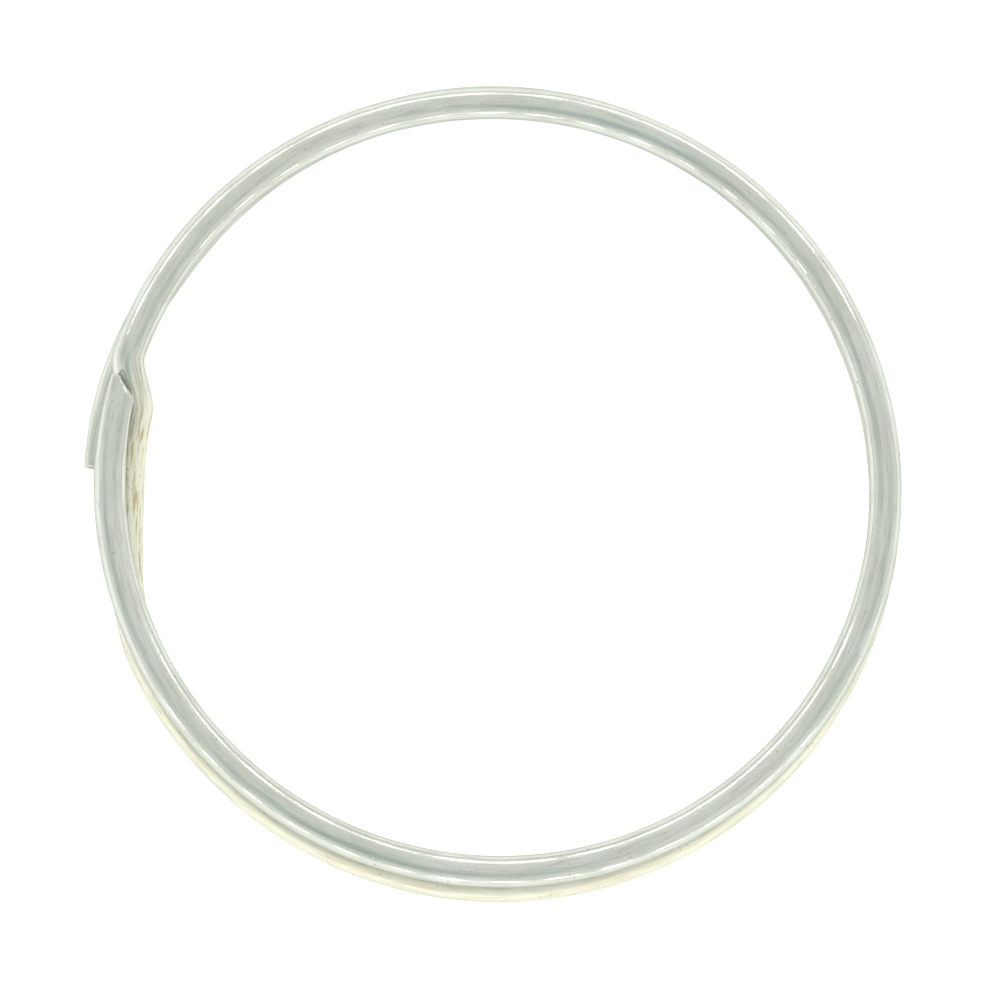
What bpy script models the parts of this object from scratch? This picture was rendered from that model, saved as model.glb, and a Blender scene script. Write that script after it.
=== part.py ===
"""Split key ring: one polished round wire wound into two close coils.

The ring lies flat on its lower coil, +Z up, with the origin under its centre. The wire starts at the
upper coil's free end, runs once round the upper coil, steps down through the crossover beside that
end, and runs once round the lower coil to the lower free end.

A real ring opens because the wire twists about its own line. Here the twist of each coil is gathered
at three places, a quarter, a half and three quarters of a turn from its free end. The wire is
divided there, and each body turns about the wire's centre line at its cut.
"""

import math

import bmesh
import bpy
from mathutils import Matrix, Vector

# Driving sizes, in metres
OUTER_DIAMETER = 0.0500  # across the upper coil
WIRE_DIAMETER = 0.0020
COIL_GAP = 0.0001  # between the coils, which touch on a real ring
COIL_SHIFT = 0.0001  # how far the lower coil's centre lies from the upper coil's, towards -Y
LOWER_COIL_GROWTH = 0.00035  # how much larger the lower coil's radius is
LOWER_COIL_OVAL = 0.0002  # how far the lower coil is drawn out along Y and in along X
UPPER_BULGE = 0.00025  # how far the upper coil stands out just before it tucks in
CROSSOVER_TUCK = 0.0012  # how far the crossover runs inside the upper coil
TIP_CLEARANCE = 0.0003  # between the crossover and the lower free end beside it
PIECE_GAP = 0.0003  # between neighbouring lengths of the wire
TIP_BEVEL = 0.00015  # rounding of the two cut ends

# The two free ends: half the wire's width and height at the very end, as shares of its radius
UPPER_TIP_WIDTH = 0.87
UPPER_TIP_HEIGHT = 0.45
LOWER_TIP_WIDTH = 0.74
LOWER_TIP_HEIGHT = 0.60

# Places along the wire beside the seam, in wire diameters past the upper free end
DIVE_START, DIVE_END = -1.8, 1.3  # the crossover leaves the upper layer and reaches the lower one
TUCK_START, TUCK_FULL = -1.4, 0.3  # it moves inwards
TUCK_EASE, TUCK_END = 2.6, 8.4  # and comes back out to the lower coil
CROSSOVER_START, CROSSOVER_END = -2.6, 2.6  # the piece that holds the step
LOWER_END = 2.1  # the end of the lower coil, which runs past the upper coil's
LOWER_SPREAD_START, LOWER_SPREAD_END = -6.0, 0.6  # where it moves outwards, past the crossover
UPPER_TAPER, LOWER_TAPER = 2.5, 7.0  # the lengths over which the free ends thin

# Angles, in degrees
SEAM_ANGLE = 167.0  # of the upper free end, from +X round +Z
TWIST_STEP = 90.0  # between a coil's free end and its first twist, and from twist to twist
BULGE_START, BULGE_FULL = -80.0, -25.0  # places of the upper coil's bulge before the seam
COIL_STEP, CROSSOVER_STEP = 5.0, 1.0  # spacing of the wire's sections

SECTION_SIDES = 12
SHARP_ANGLE = 40.0  # degrees; a sharper edge than this is shaded as one

# What follows from them
WIRE_RADIUS = WIRE_DIAMETER / 2
UPPER_RADIUS = OUTER_DIAMETER / 2 - WIRE_RADIUS
LOWER_RADIUS = UPPER_RADIUS + LOWER_COIL_GROWTH
TUCKED_RADIUS = UPPER_RADIUS - CROSSOVER_TUCK
LOWER_END_EDGE = TUCKED_RADIUS + WIRE_RADIUS + TIP_CLEARANCE + WIRE_DIAMETER * LOWER_TIP_WIDTH
LOWER_HEIGHT = WIRE_RADIUS
UPPER_HEIGHT = LOWER_HEIGHT + WIRE_DIAMETER + COIL_GAP
TURN = 360.0

NICKEL_GREY = (0.62, 0.64, 0.59)
NICKEL_WARM = (0.70, 0.69, 0.60)
NICKEL_ROUGHNESS = 0.18


def wire_degrees(length):
    """The angle that a length of wire takes up round the coil."""
    return math.degrees(length / UPPER_RADIUS)


def beside_seam(diameters):
    """The angle past the seam of a place given in wire diameters."""
    return wire_degrees(diameters * WIRE_DIAMETER)


WIRE_END = 2 * TURN + beside_seam(LOWER_END)
UPPER_CUTS = [TWIST_STEP * i for i in (1, 2, 3)]
LOWER_CUTS = [WIRE_END - TWIST_STEP * i for i in (3, 2, 1)]
STEP_START = TURN + beside_seam(CROSSOVER_START)
STEP_END = TURN + beside_seam(CROSSOVER_END)


def ease(value, start, end):
    """0 before start, 1 after end, and a smooth S between them."""
    share = min(max((value - start) / (end - start), 0.0), 1.0)
    return share * share * (3.0 - 2.0 * share)


def blend(low, high, share):
    return low + (high - low) * share


def tip_shares(angle):
    """Half width and half height of the wire at an angle along it, as shares of its radius."""
    upper = 1.0 - ease(angle, 0.0, beside_seam(UPPER_TAPER))
    lower = ease(angle, WIRE_END - beside_seam(LOWER_TAPER), WIRE_END)
    width = blend(1.0, UPPER_TIP_WIDTH, upper) * blend(1.0, LOWER_TIP_WIDTH, lower)
    height = blend(1.0, UPPER_TIP_HEIGHT, upper) * blend(1.0, LOWER_TIP_HEIGHT, lower)
    return width, height


def centre_radius(angle):
    """How far the wire's centre lies from its coil's centre."""
    past_seam = angle - TURN
    down = ease(past_seam, beside_seam(DIVE_START), beside_seam(DIVE_END))
    inwards = ease(past_seam, beside_seam(TUCK_START), beside_seam(TUCK_FULL))
    outwards = ease(past_seam, beside_seam(TUCK_EASE), beside_seam(TUCK_END))
    bulge = ease(past_seam, BULGE_START, BULGE_FULL)
    oval = LOWER_COIL_OVAL * math.cos(2 * math.radians(SEAM_ANGLE + angle))
    coil = blend(UPPER_RADIUS + UPPER_BULGE * bulge, LOWER_RADIUS - oval, down)
    radius = blend(coil, TUCKED_RADIUS, inwards - outwards)

    # The lower free end thins on its inner side, where the crossover passes it
    width, _ = tip_shares(angle)
    past_second_seam = past_seam - TURN
    spread = ease(past_second_seam, beside_seam(LOWER_SPREAD_START), beside_seam(LOWER_SPREAD_END))
    thinned = WIRE_RADIUS * (1.0 - width) * ease(past_seam, 0.0, TURN)
    return blend(radius, LOWER_END_EDGE - WIRE_RADIUS, spread) + thinned


def centre_point(angle):
    """The wire's centre at an angle along it, counted from the upper free end."""
    down = ease(angle - TURN, beside_seam(DIVE_START), beside_seam(DIVE_END))
    # The upper end keeps its top level as it thins, and the lower end keeps its underside level
    _, height = tip_shares(angle)
    thinned = WIRE_RADIUS * (1.0 - height)
    turn = math.radians(SEAM_ANGLE + angle)
    radius = centre_radius(angle)
    return Vector((
        radius * math.cos(turn),
        radius * math.sin(turn) + COIL_SHIFT * (0.5 - down),
        blend(UPPER_HEIGHT + thinned, LOWER_HEIGHT - thinned, down),
    ))


def frame_at(angle):
    """A frame on the wire: X along it, Y across it towards the ring's centre, Z upwards."""
    reach = 0.05
    along = (centre_point(angle + reach) - centre_point(angle - reach)).normalized()
    across = Vector((0.0, 0.0, 1.0)).cross(along).normalized()
    up = along.cross(across)
    frame = Matrix((along, across, up)).transposed().to_4x4()
    frame.translation = centre_point(angle)
    return frame


def section_points(angle):
    """The wire's section, a polygon whose flats lie on the round section that it stands for."""
    width, height = tip_shares(angle)
    corner = WIRE_RADIUS / math.cos(math.pi / SECTION_SIDES)
    frame = frame_at(angle)
    for i in range(SECTION_SIDES):
        turn = 2 * math.pi * (i + 0.5) / SECTION_SIDES
        yield frame @ Vector((0.0, corner * width * math.cos(turn), corner * height * math.sin(turn)))


def stations(start, end, step):
    """Evenly spaced angles from start to end, no further apart than step."""
    count = math.ceil((end - start) / step)
    return [blend(start, end, i / count) for i in range(count + 1)]


def nickel(name, colour):
    material = bpy.data.materials.new(f"{name}_nickel")
    material.use_nodes = True
    shader = material.node_tree.nodes["Principled BSDF"]
    shader.inputs["Base Color"].default_value = (*colour, 1.0)
    shader.inputs["Metallic"].default_value = 1.0
    shader.inputs["Roughness"].default_value = NICKEL_ROUGHNESS
    return material


def add_joint(name, frame, parent):
    """An empty whose X axis is the wire's line, about which its body twists."""
    empty = bpy.data.objects.new(name, None)
    empty.empty_display_size = WIRE_DIAMETER
    bpy.context.scene.collection.objects.link(empty)
    empty.parent = parent
    bpy.context.view_layer.update()
    empty.matrix_world = frame
    bpy.context.view_layer.update()
    return empty


def add_wire(name, joint, start, end, step, colour):
    """A length of the wire between two angles, on the body that turns with the joint."""
    half_gap = wire_degrees(PIECE_GAP / 2)
    start_is_free = start == 0.0
    end_is_free = end == WIRE_END
    first = start if start_is_free else start + half_gap
    last = end if end_is_free else end - half_gap

    to_joint = joint.matrix_world.inverted()
    mesh_data = bmesh.new()
    rings = [
        [mesh_data.verts.new(to_joint @ point) for point in section_points(angle)]
        for angle in stations(first, last, step)
    ]
    for ring, following in zip(rings, rings[1:]):
        for i in range(SECTION_SIDES):
            j = (i + 1) % SECTION_SIDES
            mesh_data.faces.new((ring[i], ring[j], following[j], following[i]))
    start_cap = mesh_data.faces.new(rings[0])
    end_cap = mesh_data.faces.new(rings[-1])
    bmesh.ops.recalc_face_normals(mesh_data, faces=mesh_data.faces)

    for cap, is_free in ((start_cap, start_is_free), (end_cap, end_is_free)):
        if is_free:
            bmesh.ops.bevel(
                mesh_data, geom=list(cap.edges), offset=TIP_BEVEL, segments=2,
                profile=0.5, affect="EDGES",
            )

    mesh = bpy.data.meshes.new(name)
    mesh_data.to_mesh(mesh)
    mesh_data.free()
    mesh.shade_smooth()
    mesh.set_sharp_from_angle(angle=math.radians(SHARP_ANGLE))
    mesh.materials.append(nickel(name, colour))
    wire = bpy.data.objects.new(name, mesh)
    bpy.context.scene.collection.objects.link(wire)
    wire.parent = joint


def build():
    for old in list(bpy.data.objects):
        bpy.data.objects.remove(old, do_unlink=True)

    # The bodies form one chain, from the lower free end that lies still to the upper free end
    lower_tip = add_joint("lower_tip", Matrix.Identity(4), None)
    lower_second = add_joint("lower_second", frame_at(LOWER_CUTS[2]), lower_tip)
    lower_third = add_joint("lower_third", frame_at(LOWER_CUTS[1]), lower_second)
    crossover = add_joint("crossover", frame_at(LOWER_CUTS[0]), lower_third)
    upper_third = add_joint("upper_third", frame_at(UPPER_CUTS[2]), crossover)
    upper_second = add_joint("upper_second", frame_at(UPPER_CUTS[1]), upper_third)
    upper_tip = add_joint("upper_tip", frame_at(UPPER_CUTS[0]), upper_second)

    upper = [
        ("upper_coil_tip_quarter", upper_tip, 0.0, UPPER_CUTS[0]),
        ("upper_coil_second_quarter", upper_second, UPPER_CUTS[0], UPPER_CUTS[1]),
        ("upper_coil_third_quarter", upper_third, UPPER_CUTS[1], UPPER_CUTS[2]),
        ("upper_coil_root_quarter", crossover, UPPER_CUTS[2], STEP_START),
    ]
    lower = [
        ("lower_coil_root_quarter", crossover, STEP_END, LOWER_CUTS[0]),
        ("lower_coil_third_quarter", lower_third, LOWER_CUTS[0], LOWER_CUTS[1]),
        ("lower_coil_second_quarter", lower_second, LOWER_CUTS[1], LOWER_CUTS[2]),
        ("lower_coil_tip_quarter", lower_tip, LOWER_CUTS[2], WIRE_END),
    ]
    for name, joint, start, end in upper:
        add_wire(name, joint, start, end, COIL_STEP, NICKEL_GREY)
    add_wire("crossover_step", crossover, STEP_START, STEP_END, CROSSOVER_STEP, NICKEL_WARM)
    for name, joint, start, end in lower:
        add_wire(name, joint, start, end, COIL_STEP, NICKEL_WARM)


build()
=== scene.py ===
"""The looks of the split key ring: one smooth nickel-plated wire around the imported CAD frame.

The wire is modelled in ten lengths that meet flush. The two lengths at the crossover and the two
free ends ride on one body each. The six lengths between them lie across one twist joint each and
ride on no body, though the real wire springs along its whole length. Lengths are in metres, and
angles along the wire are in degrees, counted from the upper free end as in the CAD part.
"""

import math

import bmesh
import bpy
from mathutils import Matrix, Vector


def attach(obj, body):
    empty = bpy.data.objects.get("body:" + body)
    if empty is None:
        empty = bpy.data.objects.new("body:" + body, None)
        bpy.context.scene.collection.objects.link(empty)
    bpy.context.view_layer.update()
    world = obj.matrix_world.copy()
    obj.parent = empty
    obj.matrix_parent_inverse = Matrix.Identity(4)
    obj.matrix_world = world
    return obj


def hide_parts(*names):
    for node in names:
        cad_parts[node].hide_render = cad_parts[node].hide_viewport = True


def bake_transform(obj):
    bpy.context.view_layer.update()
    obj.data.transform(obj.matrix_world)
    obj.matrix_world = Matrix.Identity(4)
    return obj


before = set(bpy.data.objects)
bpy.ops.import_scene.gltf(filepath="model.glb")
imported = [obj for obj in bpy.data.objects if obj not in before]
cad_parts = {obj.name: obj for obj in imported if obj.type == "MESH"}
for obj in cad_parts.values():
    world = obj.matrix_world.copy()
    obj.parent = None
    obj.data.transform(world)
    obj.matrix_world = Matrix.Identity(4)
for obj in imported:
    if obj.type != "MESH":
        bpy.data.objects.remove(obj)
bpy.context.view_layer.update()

# The wire's driving sizes, as in the CAD part
OUTER_DIAMETER = 0.0500
WIRE_DIAMETER = 0.0020
COIL_GAP = 0.0001
COIL_SHIFT = 0.0001
LOWER_COIL_GROWTH = 0.00035
LOWER_COIL_OVAL = 0.0002
UPPER_BULGE = 0.00025
CROSSOVER_TUCK = 0.0012
TIP_CLEARANCE = 0.0003
UPPER_TIP_WIDTH, UPPER_TIP_HEIGHT = 0.87, 0.45
LOWER_TIP_WIDTH, LOWER_TIP_HEIGHT = 0.74, 0.60

# Places beside the seam, in wire diameters past the upper free end, as in the CAD part
DIVE_START, DIVE_END = -1.8, 1.3
TUCK_START, TUCK_FULL = -1.4, 0.3
TUCK_EASE, TUCK_END = 2.6, 8.4
LOWER_END = 2.1
LOWER_SPREAD_START, LOWER_SPREAD_END = -6.0, 0.6
UPPER_TAPER, LOWER_TAPER = 2.5, 7.0

# Angles, in degrees, as in the CAD part
SEAM_ANGLE = 167.0
TWIST_STEP = 90.0
BULGE_START, BULGE_FULL = -80.0, -25.0
TURN = 360.0

# What follows from them
WIRE_RADIUS = WIRE_DIAMETER / 2
UPPER_RADIUS = OUTER_DIAMETER / 2 - WIRE_RADIUS
LOWER_RADIUS = UPPER_RADIUS + LOWER_COIL_GROWTH
TUCKED_RADIUS = UPPER_RADIUS - CROSSOVER_TUCK
LOWER_END_EDGE = TUCKED_RADIUS + WIRE_RADIUS + TIP_CLEARANCE + WIRE_DIAMETER * LOWER_TIP_WIDTH
LOWER_HEIGHT = WIRE_RADIUS
UPPER_HEIGHT = LOWER_HEIGHT + WIRE_DIAMETER + COIL_GAP

# The smooth wire
SIDES = 40
STATION_STEP = 0.6  # degrees between the wire's sections
TANGENT_REACH = 0.05  # degrees each side of a section between which its direction is read
END_ROUNDING = 0.00014  # radius round the edge of a cut end
END_ROUNDING_STEPS = 5
END_DOME = 0.00005  # how far a sheared end face stands out at its middle
END_FACE_RINGS = 5
TIP_MITRE = 0.6  # wire diameters that the upper end, cut aslant, runs on past the seam
MITRE_WIDTH = 0.28  # the wire's width where it ends there, as a share of its width at the seam
RIPPLE_DEPTH = 0.000008  # of the waves that the coiling rolls leave
RIPPLE_LENGTH = 0.0037
RIPPLE_SWAY, RIPPLE_SWAY_PACE = 0.9, 0.7  # what makes the waves uneven

# Where the wire's skin changes, and where shade and reflections are painted on it
WEAR_LENGTH = 0.004  # of wire, from a free end, that keys rub bright
WORN_WEAR, CUT_WEAR = 0.5, 0.5  # how much of the wear is on that length, and on the cut face
# The side facing the other coil gets painted shade between the coils, patchy like grime
GROOVE_EDGE = 0.6  # share of the wire's height at which the side facing the other coil begins
WARM_REFLECTION_FADE = (510.0, 620.0)  # angles between which the painted warm reflection on the lower coil fades to grey again
# How much of the painted warm reflection is left on the lower free end
FREE_END_WARM_REFLECTION = 0.12
BROWN_REFLECTION_MIDDLE = 3.0  # wire diameters past the seam of the middle of the bent wire, where painted brown reflection lines lie
BROWN_REFLECTION_NEAR, BROWN_REFLECTION_FAR = 2.5, 5.5  # and how far from there the painted brown reflection lines reach

MILLIMETRE = 0.001


def wire_degrees(length):
    """The angle that a length of wire takes up round the coil."""
    return math.degrees(length / UPPER_RADIUS)


def beside_seam(diameters):
    """The angle past the seam of a place given in wire diameters."""
    return wire_degrees(diameters * WIRE_DIAMETER)


WIRE_START = -beside_seam(TIP_MITRE)
WIRE_END = 2 * TURN + beside_seam(LOWER_END)
UPPER_CUTS = [TWIST_STEP * i for i in (1, 2, 3)]
LOWER_CUTS = [WIRE_END - TWIST_STEP * i for i in (3, 2, 1)]


def ease(value, start, end):
    """0 before start, 1 after end, and a smooth S between them."""
    share = min(max((value - start) / (end - start), 0.0), 1.0)
    return share * share * (3.0 - 2.0 * share)


def mix(low, high, share):
    return low + (high - low) * share


# ---------------------------------------------------------------- the wire's line and section


def mitre_share(angle):
    """0 from the seam on, and 1 at the very end of the upper coil's slanting cut."""
    return max(angle / WIRE_START, 0.0)


def tip_shares(angle):
    """Half width and half height of the wire at an angle along it, as shares of its radius."""
    upper = 1.0 - ease(angle, 0.0, beside_seam(UPPER_TAPER))
    lower = ease(angle, WIRE_END - beside_seam(LOWER_TAPER), WIRE_END)
    width = mix(1.0, UPPER_TIP_WIDTH, upper) * mix(1.0, LOWER_TIP_WIDTH, lower)
    width *= mix(1.0, MITRE_WIDTH, mitre_share(angle))
    height = mix(1.0, UPPER_TIP_HEIGHT, upper) * mix(1.0, LOWER_TIP_HEIGHT, lower)
    return width, height


def descent(angle):
    """0 on the upper coil and 1 on the lower coil."""
    return ease(angle - TURN, beside_seam(DIVE_START), beside_seam(DIVE_END))


def centre_radius(angle):
    """How far the wire's centre lies from its coil's centre."""
    past_seam = angle - TURN
    inwards = ease(past_seam, beside_seam(TUCK_START), beside_seam(TUCK_FULL))
    outwards = ease(past_seam, beside_seam(TUCK_EASE), beside_seam(TUCK_END))
    bulge = ease(past_seam, BULGE_START, BULGE_FULL)
    oval = LOWER_COIL_OVAL * math.cos(2 * math.radians(SEAM_ANGLE + angle))
    coil = mix(UPPER_RADIUS + UPPER_BULGE * bulge, LOWER_RADIUS - oval, descent(angle))
    radius = mix(coil, TUCKED_RADIUS, inwards - outwards)

    # The lower free end thins on its inner side, where the crossover passes it
    width, _ = tip_shares(angle)
    past_second_seam = past_seam - TURN
    spread = ease(past_second_seam, beside_seam(LOWER_SPREAD_START), beside_seam(LOWER_SPREAD_END))
    thinned = WIRE_RADIUS * (1.0 - width) * ease(past_seam, 0.0, TURN)
    return mix(radius, LOWER_END_EDGE - WIRE_RADIUS, spread) + thinned


def centre_point(angle):
    """The wire's centre at an angle along it."""
    down = descent(angle)
    _, height = tip_shares(angle)
    thinned = WIRE_RADIUS * (1.0 - height)
    turn = math.radians(SEAM_ANGLE + angle)
    radius = centre_radius(angle)
    return Vector((
        radius * math.cos(turn),
        radius * math.sin(turn) + COIL_SHIFT * (0.5 - down),
        mix(UPPER_HEIGHT + thinned, LOWER_HEIGHT - thinned, down),
    ))


def frame_at(angle):
    """A frame on the wire: X along it, Y across it towards the ring's centre, Z upwards."""
    before, after = centre_point(angle - TANGENT_REACH), centre_point(angle + TANGENT_REACH)
    along = (after - before).normalized()
    across = Vector((0.0, 0.0, 1.0)).cross(along).normalized()
    up = along.cross(across)
    matrix = Matrix((along, across, up)).transposed().to_4x4()
    matrix.translation = centre_point(angle)
    return matrix


def ripple(angle):
    """How far the skin lies inside the true round, from the waves left by coiling."""
    length = math.radians(angle) * UPPER_RADIUS
    sway = RIPPLE_SWAY * math.sin(RIPPLE_SWAY_PACE * length / RIPPLE_LENGTH)
    wave = math.sin(2 * math.pi * length / RIPPLE_LENGTH + sway)
    return RIPPLE_DEPTH * 0.5 * (1.0 - wave)


class Station:
    """One section of the wire: its angle, how far it is drawn in all round, and how far it is
    pushed along the wire."""

    def __init__(self, angle, inset=0.0, push=0.0):
        self.angle = angle
        self.inset = inset
        self.push = push

    def points(self):
        """(place, place on the straightened wire in millimetres, height round the section)."""
        width, height = tip_shares(self.angle)
        skin = ripple(self.angle) + self.inset
        half_width = WIRE_RADIUS * width - skin
        half_height = WIRE_RADIUS * height - skin

        # On the slanting end, the section keeps its outer side and loses its inner one
        lost_width = UPPER_TIP_WIDTH * (1.0 - MITRE_WIDTH) * mitre_share(self.angle)
        outwards = WIRE_RADIUS * lost_width
        matrix = frame_at(self.angle)
        length = math.radians(self.angle) * UPPER_RADIUS + self.push
        for i in range(SIDES):
            turn = 2 * math.pi * i / SIDES
            side, rise = math.cos(turn), math.sin(turn)
            across, up = half_width * side - outwards, half_height * rise
            place = matrix @ Vector((self.push, across, up))
            straight = Vector((length, across, up)) / MILLIMETRE
            yield place, straight, rise


def end_stations(angle, outwards):
    """The sections that round and close a free end, from the wire to the end's middle."""
    width, height = tip_shares(angle)
    narrowest = WIRE_RADIUS * min(width, height)
    sections = []
    for i in range(1, END_ROUNDING_STEPS + 1):
        turn = math.pi / 2 * i / END_ROUNDING_STEPS
        inset = END_ROUNDING * (1.0 - math.cos(turn))
        push = END_ROUNDING * math.sin(turn) * outwards
        sections.append(Station(angle, inset, push))
    for i in range(1, END_FACE_RINGS):
        share = i / END_FACE_RINGS
        inset = mix(END_ROUNDING, narrowest, share)
        push = (END_ROUNDING + END_DOME * math.sin(share * math.pi / 2)) * outwards
        sections.append(Station(angle, inset, push))
    return sections


def stations(start, end):
    """Evenly spaced sections from start to end, closed and rounded where the wire ends."""
    margin = wire_degrees(END_ROUNDING + END_DOME)
    first = start + margin if start == WIRE_START else start
    last = end - margin if end == WIRE_END else end
    count = math.ceil((last - first) / STATION_STEP)
    sections = [Station(mix(first, last, i / count)) for i in range(count + 1)]
    if start == WIRE_START:
        sections = end_stations(first, -1.0)[::-1] + sections
    if end == WIRE_END:
        sections += end_stations(last, 1.0)
    return sections


def add_wire(name, start, end, slot):
    """A length of the wire between two angles, with its material's values on its points."""
    wire = bmesh.new()
    straight_layer = wire.verts.layers.float_vector.new("straight")
    wear_layer = wire.verts.layers.float.new("wear")
    groove_layer = wire.verts.layers.float.new("groove")
    lower_layer = wire.verts.layers.float.new("lower")
    brown_reflection_layer = wire.verts.layers.float.new("brown_reflection_band")
    rings = []
    for section in stations(start, end):
        turn_from_end = min(section.angle - WIRE_START, WIRE_END - section.angle)
        from_end = math.radians(turn_from_end) * UPPER_RADIUS
        worn = 1.0 - ease(from_end, 0.0, WEAR_LENGTH)
        cut = ease(section.inset, 0.5 * END_ROUNDING, END_ROUNDING)
        facing_other_coil = mix(-1.0, 1.0, descent(section.angle))
        off_upper_coil = abs(centre_radius(section.angle) - UPPER_RADIUS)
        beside_other_coil = 1.0 - ease(off_upper_coil, 0.0, WIRE_RADIUS)
        # Where brown lines are painted on the crossover as a painted reflection
        off_brown_reflection = abs(section.angle - TURN - beside_seam(BROWN_REFLECTION_MIDDLE))
        brown_reflection_band = 1.0 - ease(off_brown_reflection, beside_seam(BROWN_REFLECTION_NEAR), beside_seam(BROWN_REFLECTION_FAR))
        warm_reflection = mix(1.0, FREE_END_WARM_REFLECTION, ease(section.angle, *WARM_REFLECTION_FADE))
        ring = []
        for place, straight, rise in section.points():
            point = wire.verts.new(place)
            point[straight_layer] = straight
            point[wear_layer] = WORN_WEAR * worn + CUT_WEAR * cut
            # Painted shade on the side facing the other coil, strongest where the coils lie side by
            # side
            facing = ease(rise * facing_other_coil, GROOVE_EDGE, 1.0)
            point[groove_layer] = beside_other_coil * facing
            # How far a point is on the lower coil, which sets its roughness and its painted warm
            # reflection
            point[lower_layer] = descent(section.angle) * warm_reflection
            point[brown_reflection_layer] = brown_reflection_band
            ring.append(point)
        rings.append(ring)
    for ring, following in zip(rings, rings[1:]):
        for i in range(SIDES):
            j = (i + 1) % SIDES
            wire.faces.new((ring[i], ring[j], following[j], following[i]))
    bmesh.ops.recalc_face_normals(wire, faces=wire.faces)
    for face in wire.faces:
        face.smooth = True
    for ring in (rings[0], rings[-1]):
        cap = wire.faces.new(ring)
        for edge in cap.edges:
            edge.smooth = False
    bmesh.ops.recalc_face_normals(wire, faces=wire.faces)

    mesh = bpy.data.meshes.new(name)
    wire.to_mesh(mesh)
    wire.free()
    mesh.materials.append(NICKEL)
    piece = bpy.data.objects.new(name, mesh)
    bpy.context.scene.collection.objects.link(piece)
    return piece


# ---------------------------------------------------------------- materials


class Nodes:
    """A node tree in which each call adds a node and links what it is given."""

    def __init__(self, tree):
        self.tree = tree

    def add(self, kind, inputs, **settings):
        made = self.tree.nodes.new(kind)
        for name, value in settings.items():
            setattr(made, name, value)
        for name, value in inputs.items():
            if isinstance(value, bpy.types.NodeSocket):
                self.tree.links.new(value, made.inputs[name])
            else:
                made.inputs[name].default_value = value
        return made

    def attribute(self, name):
        return self.add("ShaderNodeAttribute", {}, attribute_name=name)

    def stretched(self, vector, scale):
        """The vector with each of its axes scaled."""
        return self.add(
            "ShaderNodeVectorMath", {0: vector, 1: scale}, operation="MULTIPLY"
        ).outputs["Vector"]

    def noise(self, vector, scale, detail=2.0, distortion=0.0):
        return self.add(
            "ShaderNodeTexNoise",
            {"Vector": vector, "Scale": scale, "Detail": detail, "Distortion": distortion},
        ).outputs["Fac"]

    def ramp(self, value, start, end, low=0.0, high=1.0):
        """low where value is at start or before it, high at end or after it, and smooth between."""
        return self.add(
            "ShaderNodeMapRange",
            {"Value": value, "From Min": start, "From Max": end, "To Min": low, "To Max": high},
            interpolation_type="SMOOTHSTEP",
        ).outputs["Result"]

    def math(self, operation, first, second=0.0):
        return self.add(
            "ShaderNodeMath", {0: first, 1: second}, operation=operation
        ).outputs["Value"]

    def total(self, *values):
        sum_so_far = values[0]
        for value in values[1:]:
            sum_so_far = self.math("ADD", sum_so_far, value)
        return sum_so_far

    def colour(self, share, first, second):
        """A colour between two, or the first with the second laid over it."""
        made = self.add("ShaderNodeMix", {"Factor": share}, data_type="RGBA")
        for socket, value in ((made.inputs[6], first), (made.inputs[7], second)):
            if isinstance(value, bpy.types.NodeSocket):
                self.tree.links.new(value, socket)
            else:
                socket.default_value = (*value, 1.0)
        return made.outputs[2]


# Colours of the plating: on the upper coil, and on the lower coil, where the same plating is
# painted paler and warmer as a painted warm reflection
GREEN_GREY = (0.60, 0.623, 0.56)
COOL_GREY = (0.65, 0.67, 0.625)
WARM_REFLECTION_GREY = (0.77, 0.765, 0.66)
WARM_REFLECTION_GOLD = (0.83, 0.81, 0.68)
BARE_STEEL = (0.46, 0.46, 0.43)
# Drawing lines on the lower coil, tinted with the painted warm reflection
LINE_IN_WARM_REFLECTION = (0.62, 0.57, 0.42)
# Brown of the painted reflection lines on the crossover
BROWN_REFLECTION = (0.50, 0.40, 0.21)
# The dark of the pits, and also of the painted shade between the coils
TARNISH_AND_SHADE = (0.20, 0.19, 0.16)
EDGE_TINT = (0.62, 0.64, 0.62)
PLATING_RELIEF = 0.000006  # metres from the deepest to the highest point of the skin
UPPER_ROUGHNESS, LOWER_ROUGHNESS = 0.12, 0.50

# The patterns on the plating: how each is stretched along the wire, and its scale per millimetre
CLOUD_STRETCH, CLOUD_SCALE = (0.35, 1.0, 1.0), 0.6
LINE_STRETCH, LINE_SCALE = (0.08, 1.0, 1.0), 6.0
PEEL_STRETCH, PEEL_SCALE = (1.0, 0.6, 0.6), 1.6
SCRATCH_STRETCH, SCRATCH_SCALE, SCRATCH_BENDS = (0.5, 1.0, 1.0), 1.1, 1.2
SPECKLE_SCALE = 6.5

# The values, from 0 to 1, of a pattern or of the wear between which each of these sets in
CLOUD_FADE = (0.35, 0.65)
SHADE_AND_GRIME_FADE = (0.25, 0.6)
STREAK_FADE, BROWN_REFLECTION_FADE = (0.45, 0.7), (0.52, 0.68)
PIT_FADE = (0.71, 0.77)
SCRATCH_FADE = (0.004, 0.0)  # of the distance from the slow noise's middle value
RUB_FADE, RUB_ROUGH_FADE = (0.35, 0.9), (0.3, 1.0)
ROUGH_FADE = (0.3, 0.7)

# How strongly each pattern changes the colour, the roughness and the height of the skin
# These set how dark the painted shade between the coils gets, patchy like grime
SHADE_AND_GRIME_LEAST, SHADE_AND_GRIME_MOST = 0.1, 0.35
LINE_TINT, BROWN_REFLECTION_TINT, RUB_TINT, PIT_TINT = 0.5, 0.8, 0.6, 0.7
LINE_SMOOTHER, LINE_ROUGHER = -0.03, 0.05
CLOUD_ROUGHER, SCRATCH_ROUGHER, PIT_ROUGHER = 0.05, 0.15, 0.25
RUB_ROUGHER, SHADE_AND_GRIME_ROUGHER = 0.22, 0.3
LINE_HEIGHT, PEEL_HEIGHT, SCRATCH_HEIGHT = 0.35, 0.9, -0.25
PIT_HEIGHT, RUB_HEIGHT = -1.0, 1.2


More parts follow.
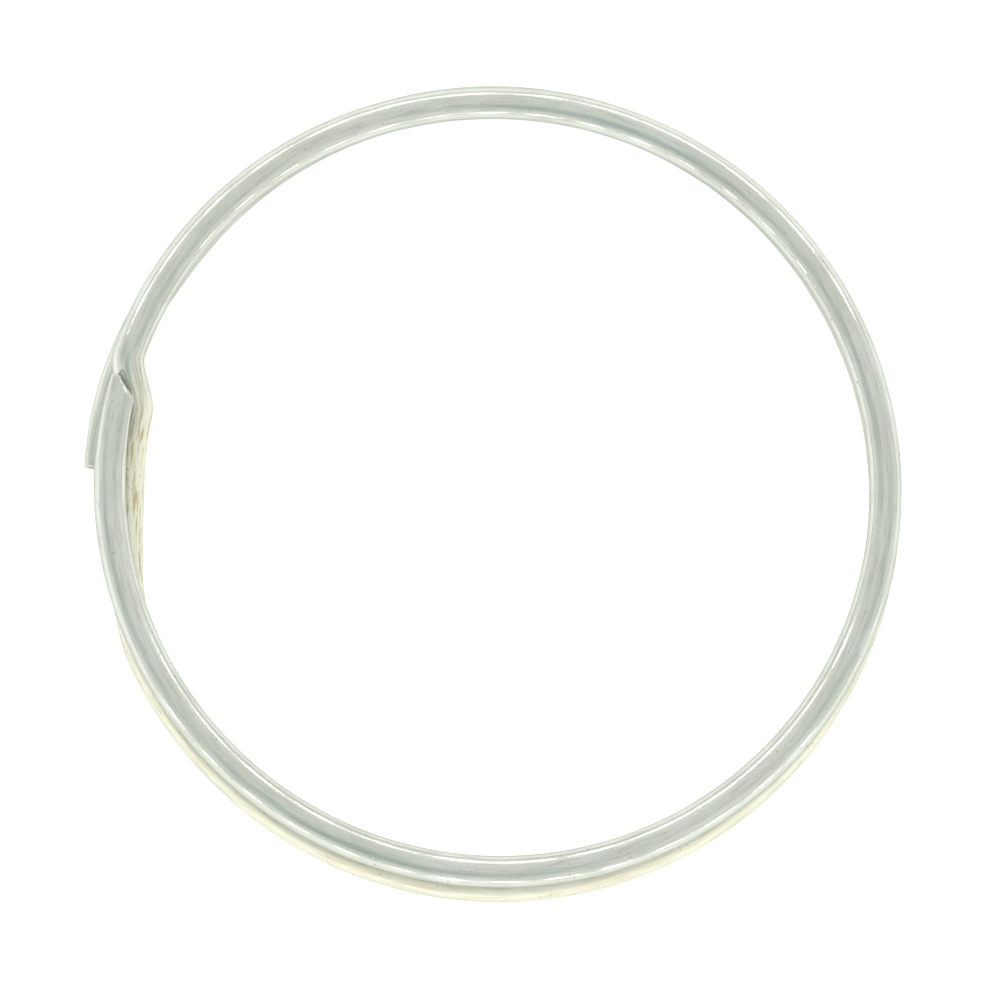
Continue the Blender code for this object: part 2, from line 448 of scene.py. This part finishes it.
def plated_wire():
    """Polished nickel on drawn spring wire, in the coordinates of the straightened wire."""
    material = bpy.data.materials.new("plated_wire")
    material.use_nodes = True
    nodes = Nodes(material.node_tree)
    shader = material.node_tree.nodes["Principled BSDF"]
    straight = nodes.attribute("straight").outputs["Vector"]
    wear = nodes.attribute("wear").outputs["Fac"]
    groove = nodes.attribute("groove").outputs["Fac"]
    lower = nodes.attribute("lower").outputs["Fac"]
    brown_reflection_band = nodes.attribute("brown_reflection_band").outputs["Fac"]

    clouds = nodes.noise(nodes.stretched(straight, CLOUD_STRETCH), CLOUD_SCALE, detail=3.0)
    drawing_lines = nodes.noise(nodes.stretched(straight, LINE_STRETCH), LINE_SCALE, detail=4.0)
    orange_peel = nodes.noise(nodes.stretched(straight, PEEL_STRETCH), PEEL_SCALE, detail=2.0)
    speckle = nodes.noise(straight, SPECKLE_SCALE, detail=1.0)
    pits = nodes.ramp(speckle, *PIT_FADE)

    # Hairline scratches are where a slow noise crosses its middle value
    stretched = nodes.stretched(straight, SCRATCH_STRETCH)
    slow = nodes.noise(stretched, SCRATCH_SCALE, detail=0.0, distortion=SCRATCH_BENDS)
    from_middle = nodes.math("ABSOLUTE", nodes.math("SUBTRACT", slow, 0.5))
    scratches = nodes.ramp(from_middle, *SCRATCH_FADE)

    # Painted shade on the side facing the other coil, patchy like grime
    shade_and_grime = nodes.math("MULTIPLY", groove, nodes.ramp(clouds, *SHADE_AND_GRIME_FADE, SHADE_AND_GRIME_LEAST, SHADE_AND_GRIME_MOST))
    cloud_share = nodes.ramp(clouds, *CLOUD_FADE)
    upper_plating = nodes.colour(cloud_share, GREEN_GREY, COOL_GREY)
    # The lower coil's plating, painted paler and warmer as a painted warm reflection
    warm_reflection_plating = nodes.colour(cloud_share, WARM_REFLECTION_GREY, WARM_REFLECTION_GOLD)
    plating = nodes.colour(lower, upper_plating, warm_reflection_plating)
    line_colour = nodes.colour(lower, BARE_STEEL, LINE_IN_WARM_REFLECTION)
    streaks = nodes.ramp(drawing_lines, *STREAK_FADE, 0.0, LINE_TINT)
    streaked = nodes.colour(streaks, plating, line_colour)
    # Painted brown reflection lines on the crossover, following the drawing lines
    brown_line_share = nodes.ramp(drawing_lines, *BROWN_REFLECTION_FADE, 0.0, BROWN_REFLECTION_TINT)
    brown_reflection_lines = nodes.math("MULTIPLY", brown_reflection_band, brown_line_share)
    with_brown_reflection = nodes.colour(brown_reflection_lines, streaked, BROWN_REFLECTION)
    rubbed = nodes.colour(nodes.ramp(wear, *RUB_FADE, 0.0, RUB_TINT), with_brown_reflection, BARE_STEEL)
    pitted = nodes.colour(nodes.math("MULTIPLY", pits, PIT_TINT), rubbed, TARNISH_AND_SHADE)
    # The painted shade between the coils is laid over the plating here
    finished = nodes.colour(shade_and_grime, pitted, TARNISH_AND_SHADE)
    material.node_tree.links.new(finished, shader.inputs["Base Color"])

    rough = nodes.total(
        nodes.ramp(lower, 0.0, 1.0, UPPER_ROUGHNESS, LOWER_ROUGHNESS),
        nodes.ramp(drawing_lines, *ROUGH_FADE, LINE_SMOOTHER, LINE_ROUGHER),
        nodes.ramp(clouds, *ROUGH_FADE, 0.0, CLOUD_ROUGHER),
        nodes.math("MULTIPLY", scratches, SCRATCH_ROUGHER),
        nodes.math("MULTIPLY", pits, PIT_ROUGHER),
        nodes.ramp(wear, *RUB_ROUGH_FADE, 0.0, RUB_ROUGHER),
        nodes.math("MULTIPLY", shade_and_grime, SHADE_AND_GRIME_ROUGHER),
    )
    material.node_tree.links.new(rough, shader.inputs["Roughness"])

    height = nodes.total(
        nodes.math("MULTIPLY", drawing_lines, LINE_HEIGHT),
        nodes.math("MULTIPLY", orange_peel, PEEL_HEIGHT),
        nodes.math("MULTIPLY", scratches, SCRATCH_HEIGHT),
        nodes.math("MULTIPLY", pits, PIT_HEIGHT),
        nodes.math("MULTIPLY", nodes.math("MULTIPLY", speckle, wear), RUB_HEIGHT),
    )
    bump = nodes.add(
        "ShaderNodeBump", {"Height": height, "Strength": 1.0, "Distance": PLATING_RELIEF}
    )
    material.node_tree.links.new(bump.outputs["Normal"], shader.inputs["Normal"])
    shader.inputs["Metallic"].default_value = 1.0
    shader.inputs["Specular Tint"].default_value = (*EDGE_TINT, 1.0)
    return material


NICKEL = plated_wire()


# ---------------------------------------------------------------- studio

FLOOR_SIZE = 6.0
FLOOR_WHITE = (0.93, 0.93, 0.92)
FLOOR_ROUGHNESS = 0.9
LOW_LIGHT = (1.02, 1.03, 1.0)  # of the room near its horizon
HIGH_LIGHT = (0.92, 0.94, 0.90)  # of the room overhead
HIGH_NEAR, HIGH_FAR = 12.0, 55.0  # angles off the zenith between which one becomes the other
SHADE_LIGHT = (0.58, 0.67, 0.65)  # in the middle of a dark patch
# The azimuth, elevation and strength of each dark patch
SHADES = ((-17.0, 55.0, 1.0), (-85.0, 46.0, 0.8), (85.0, 52.0, 0.5))
SHADE_NEAR, SHADE_FAR = 4.0, 33.0  # angles off its middle between which a patch fades
FLOOR_GLOW = 0.45

LAMP_DISTANCE = 1.0

CAMERA_AZIMUTH, CAMERA_ELEVATION = -21.5, 81.1
CLIP_START = 0.01
LENS = 400.0
FRAME_WIDTH = 0.06177  # of the ring's plane that the picture takes in
AIM_RIGHT, AIM_DOWN = 0.00009, 0.00089  # from the upper coil's centre to the picture's


def direction_to(azimuth, elevation):
    """The unit vector from the ring towards a place; azimuth 0 is -Y and 90 is +X."""
    turn, rise = math.radians(azimuth), math.radians(elevation)
    return Vector((
        math.sin(turn) * math.cos(rise), -math.cos(turn) * math.cos(rise), math.sin(rise)
    ))


def add_floor():
    half = FLOOR_SIZE / 2
    mesh = bpy.data.meshes.new("floor")
    corners = [(-half, -half, 0.0), (half, -half, 0.0), (half, half, 0.0), (-half, half, 0.0)]
    mesh.from_pydata(corners, [], [(0, 1, 2, 3)])
    floor = bpy.data.objects.new("floor", mesh)
    bpy.context.scene.collection.objects.link(floor)
    material = bpy.data.materials.new("white_floor")
    material.use_nodes = True
    shader = material.node_tree.nodes["Principled BSDF"]
    shader.inputs["Base Color"].default_value = (*FLOOR_WHITE, 1.0)
    shader.inputs["Roughness"].default_value = FLOOR_ROUGHNESS
    shader.inputs["Specular IOR Level"].default_value = 0.0
    shader.inputs["Emission Color"].default_value = (1.0, 1.0, 1.0, 1.0)
    shader.inputs["Emission Strength"].default_value = FLOOR_GLOW
    mesh.materials.append(material)


def add_room():
    """A pale room, a little darker overhead, with soft dark patches where people and stands are."""
    world = bpy.data.worlds.new("studio")
    world.use_nodes = True
    nodes = Nodes(world.node_tree)
    direction = nodes.add("ShaderNodeTexCoord", {}).outputs["Generated"]

    def angle_from(axis):
        cosine = nodes.add(
            "ShaderNodeVectorMath", {0: direction, 1: axis}, operation="DOT_PRODUCT"
        ).outputs["Value"]
        return nodes.math("ARCCOSINE", cosine)

    near, far = math.radians(SHADE_NEAR), math.radians(SHADE_FAR)
    from_top = angle_from((0.0, 0.0, 1.0))
    high = nodes.ramp(from_top, math.radians(HIGH_FAR), math.radians(HIGH_NEAR))
    shade = 0.0
    for azimuth, elevation, strength in SHADES:
        off_middle = angle_from(direction_to(azimuth, elevation))
        patch = nodes.ramp(off_middle, far, near, 0.0, strength)
        shade = nodes.math("MAXIMUM", shade, patch)
    open_light = nodes.colour(high, LOW_LIGHT, HIGH_LIGHT)
    lit = nodes.colour(shade, open_light, SHADE_LIGHT)
    background = world.node_tree.nodes["Background"]
    world.node_tree.links.new(lit, background.inputs["Color"])
    background.inputs["Strength"].default_value = 1.0
    bpy.context.scene.world = world


def add_lamp_row(name, azimuth, spread, elevation, count, width, height, radiance):
    """A row of upright lamps on an arc round the ring, each facing it."""
    for i in range(count):
        along = azimuth + spread * (i / (count - 1) - 0.5)
        place = LAMP_DISTANCE * direction_to(along, elevation)
        light = bpy.data.lights.new(f"{name}_{i + 1}", "AREA")
        light.shape = "RECTANGLE"
        light.size, light.size_y = width, height
        light.energy = radiance * math.pi * width * height
        lamp = bpy.data.objects.new(light.name, light)
        lamp.location = place
        lamp.rotation_mode = "QUATERNION"
        lamp.rotation_quaternion = (-place).to_track_quat("-Z", "Y")
        bpy.context.scene.collection.objects.link(lamp)


def add_camera():
    back = direction_to(CAMERA_AZIMUTH, CAMERA_ELEVATION)
    image_up = Vector((0.0, 1.0, 0.0))
    up = (image_up - back * image_up.dot(back)).normalized()
    right = up.cross(back)
    data = bpy.data.cameras.new("camera")
    data.lens = LENS
    data.clip_start = CLIP_START
    camera = bpy.data.objects.new("camera", data)
    aim = Vector((0.0, COIL_SHIFT / 2, UPPER_HEIGHT)) + right * AIM_RIGHT - up * AIM_DOWN
    orientation = Matrix((right, up, back)).transposed().to_4x4()
    distance = FRAME_WIDTH * data.lens / data.sensor_width
    camera.matrix_world = Matrix.Translation(aim + back * distance) @ orientation
    bpy.context.scene.collection.objects.link(camera)
    bpy.context.scene.camera = camera


# ---------------------------------------------------------------- the whole scene

UPPER, LOWER = "upper_nickel", "lower_nickel"
HALF_STEP = TWIST_STEP / 2

# The lengths that ride on one body
free_upper_end = add_wire("upper_free_end", WIRE_START, UPPER_CUTS[0] - HALF_STEP, UPPER)
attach(free_upper_end, "upper_tip")
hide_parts("upper_coil_tip_quarter")

seam_middle = TURN + beside_seam(DIVE_START)
upper_root = add_wire("upper_root", UPPER_CUTS[2] + HALF_STEP, seam_middle, UPPER)
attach(upper_root, "crossover")
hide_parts("upper_coil_root_quarter")

crossover = add_wire("crossover_step_wire", seam_middle, LOWER_CUTS[0] - HALF_STEP, LOWER)
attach(crossover, "crossover")
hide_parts("crossover_step")

free_lower_end = add_wire("lower_free_end", LOWER_CUTS[2] + HALF_STEP, WIRE_END, LOWER)
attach(free_lower_end, "lower_tip")
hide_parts("lower_coil_tip_quarter")

# The lengths that lie across a twist joint: each one's name, slot and cut, the bodies before and
# after the cut, and the node that the length stands for
BENDS = [
    (
        "upper_bend_first", UPPER, UPPER_CUTS[0], "upper_tip",
        "upper_second", "upper_coil_second_quarter",
    ),
    (
        "upper_bend_second", UPPER, UPPER_CUTS[1], "upper_second",
        "upper_third", "upper_coil_third_quarter",
    ),
    (
        "upper_bend_third", UPPER, UPPER_CUTS[2], "upper_third",
        "crossover", "upper_coil_third_quarter",
    ),
    (
        "lower_bend_third", LOWER, LOWER_CUTS[0], "crossover",
        "lower_third", "lower_coil_root_quarter",
    ),
    (
        "lower_bend_second", LOWER, LOWER_CUTS[1], "lower_third",
        "lower_second", "lower_coil_third_quarter",
    ),
    (
        "lower_bend_first", LOWER, LOWER_CUTS[2], "lower_second",
        "lower_tip", "lower_coil_second_quarter",
    ),
]
for name, slot, cut, body_before, body_after, node in BENDS:
    bend = add_wire(name, cut - HALF_STEP, cut + HALF_STEP, slot)
    at_cut = frame_at(cut)
    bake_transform(bend)
    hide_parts(node)

add_floor()
add_room()
add_lamp_row(
    "back_lamp", azimuth=180.0, spread=108.0, elevation=26.0,
    count=13, width=0.045, height=0.20, radiance=5.0,
)
add_lamp_row(
    "front_lamp", azimuth=0.0, spread=117.0, elevation=6.0,
    count=14, width=0.045, height=0.16, radiance=4.0,
)
add_camera()

scene = bpy.context.scene
scene.view_settings.view_transform = "Standard"
scene.view_settings.look = "None"
